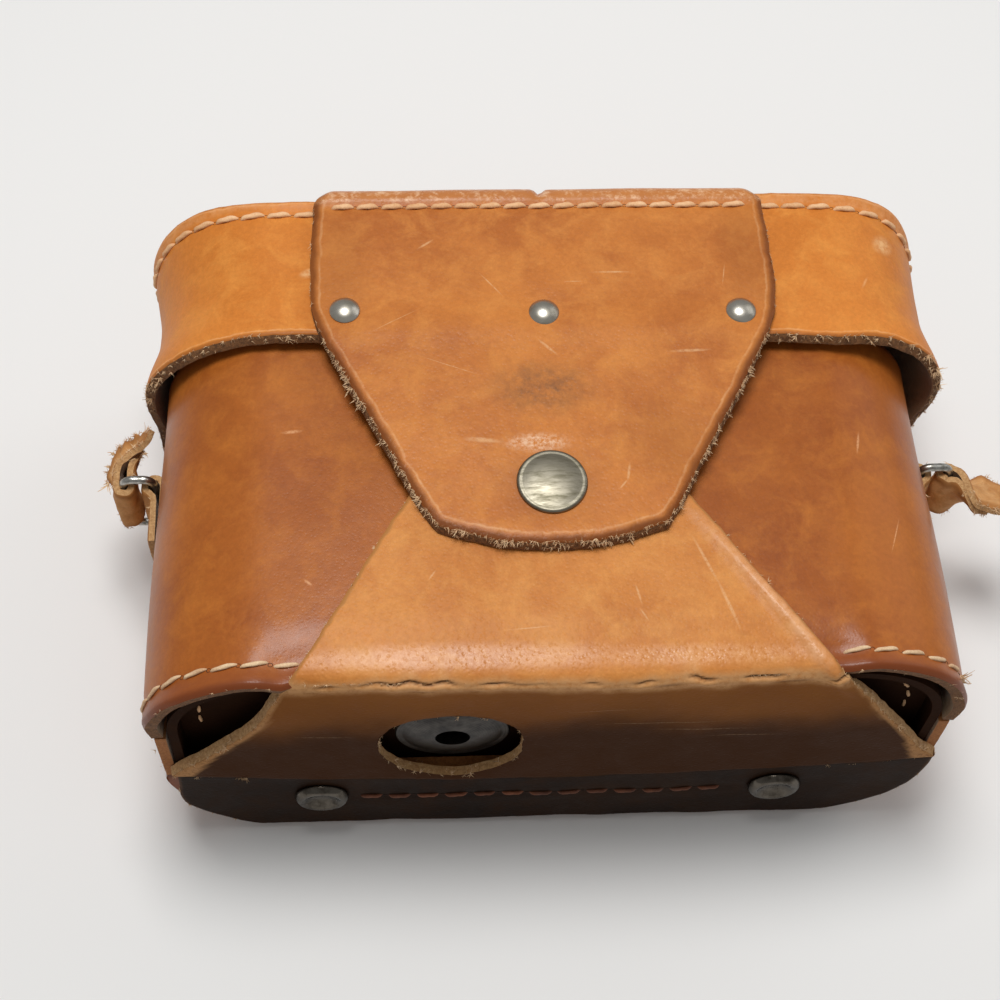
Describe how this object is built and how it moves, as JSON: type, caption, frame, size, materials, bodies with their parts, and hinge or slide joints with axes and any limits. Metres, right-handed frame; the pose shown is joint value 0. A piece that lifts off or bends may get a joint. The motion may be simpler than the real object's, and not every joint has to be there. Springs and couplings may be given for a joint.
{
  "type": "camera case",
  "caption": "Drop-front leather camera case with hinged lid, snap tongue, wrapped front, captive tripod screw and two strap rings.",
  "frame": {"origin": "centre of the flat back of the case, which it lies on", "axes": "+Z out of the front of the case, +X to the right and +Y towards the lid, so that -Y is the bottom of the case with the tripod screw"},
  "size_m": [0.1804, 0.1047, 0.0723],
  "materials": {
    "shell_leather": "smooth, glossy, worn",
    "wrap_leather": "fine grain, half matt",
    "lid_leather": "smooth, half matt",
    "tongue_leather": "scuffed, darker at its edges",
    "panel_leather": "dark, aged",
    "strap_leather": "torn, fibrous",
    "pale_thread": "waxed linen",
    "tan_thread": "waxed linen, stained",
    "snap_nickel": "satin nickel plate",
    "stud_metal": "dull, tarnished",
    "screw_steel": "dark, turned",
    "eyelet_brass": "aged",
    "ring_wire": "dull"
  },
  "bodies": {
    "half_case": {"back_shell": "shell_leather", "bottom_panel": "panel_leather", "panel_stitching": "pale_thread", "anchor_strip": "wrap_leather", "anchor_studs": "stud_metal", "anchor_stitching": "pale_thread", "screw_bush": "eyelet_brass", "back_hinge_stitching": "tan_thread", "right_ring_tab": "strap_leather", "left_ring_tab": "strap_leather", "tab_rivets": "stud_metal"},
    "drop_front": {"front_shell": "shell_leather", "front_wrap": "wrap_leather", "rim_stitching": "pale_thread", "snap_stud": "snap_nickel", "snap_post": "snap_nickel"},
    "lid": {"lid_band": "lid_leather", "lid_panel": "lid_leather", "hinge_leaf": "lid_leather", "lid_hinge_stitching": "tan_thread", "lid_stitching": "tan_thread", "tongue_stitching": "tan_thread", "tongue_base": "tongue_leather", "tongue_rivets": "snap_nickel", "rivet_burrs": "snap_nickel"},
    "tongue": {"tongue_flap": "tongue_leather", "snap_cap": "snap_nickel", "snap_socket": "snap_nickel", "snap_spring": "eyelet_brass"},
    "tripod_screw": {"tripod_screw": "screw_steel", "screw_retainer": "screw_steel"},
    "left_ring": {"left_ring": "ring_wire", "left_strap_stub": "strap_leather"},
    "right_ring": {"right_ring": "ring_wire", "right_strap_stub": "strap_leather"}
  },
  "joints": [
    {"name": "lid_hinge", "type": "hinge", "parent": "half_case", "child": "lid", "pos_m": [0, 0.0478, 0], "axis": [-1, 0, 0], "range_deg": [0, 240]},
    {"name": "front_drop", "type": "hinge", "parent": "half_case", "child": "drop_front", "pos_m": [0, -0.051, 0.0232], "axis": [1, 0, 0], "range_deg": [0, 120]},
    {"name": "tongue_flex", "type": "hinge", "parent": "lid", "child": "tongue", "pos_m": [0, 0.018, 0.071], "axis": [-1, 0, 0], "range_deg": [0, 60]},
    {"name": "tripod_spin", "type": "hinge", "parent": "half_case", "child": "tripod_screw", "pos_m": [-0.0188, -0.047, 0.0376], "axis": [0, 1, 0], "continuous": true},
    {"name": "left_ring_swing", "type": "hinge", "parent": "half_case", "child": "left_ring", "pos_m": [-0.0751, 0.0046, 0.033], "axis": [0, 0, 1], "range_deg": [0, 45]},
    {"name": "right_ring_swing", "type": "hinge", "parent": "half_case", "child": "right_ring", "pos_m": [0.0751, 0.0046, 0.033], "axis": [0, 0, 1], "range_deg": [-45, 60]}
  ],
  "couplings": [
    {"joint": "front_drop", "follows": "lid_hinge", "ratio": 0.5}
  ]
}
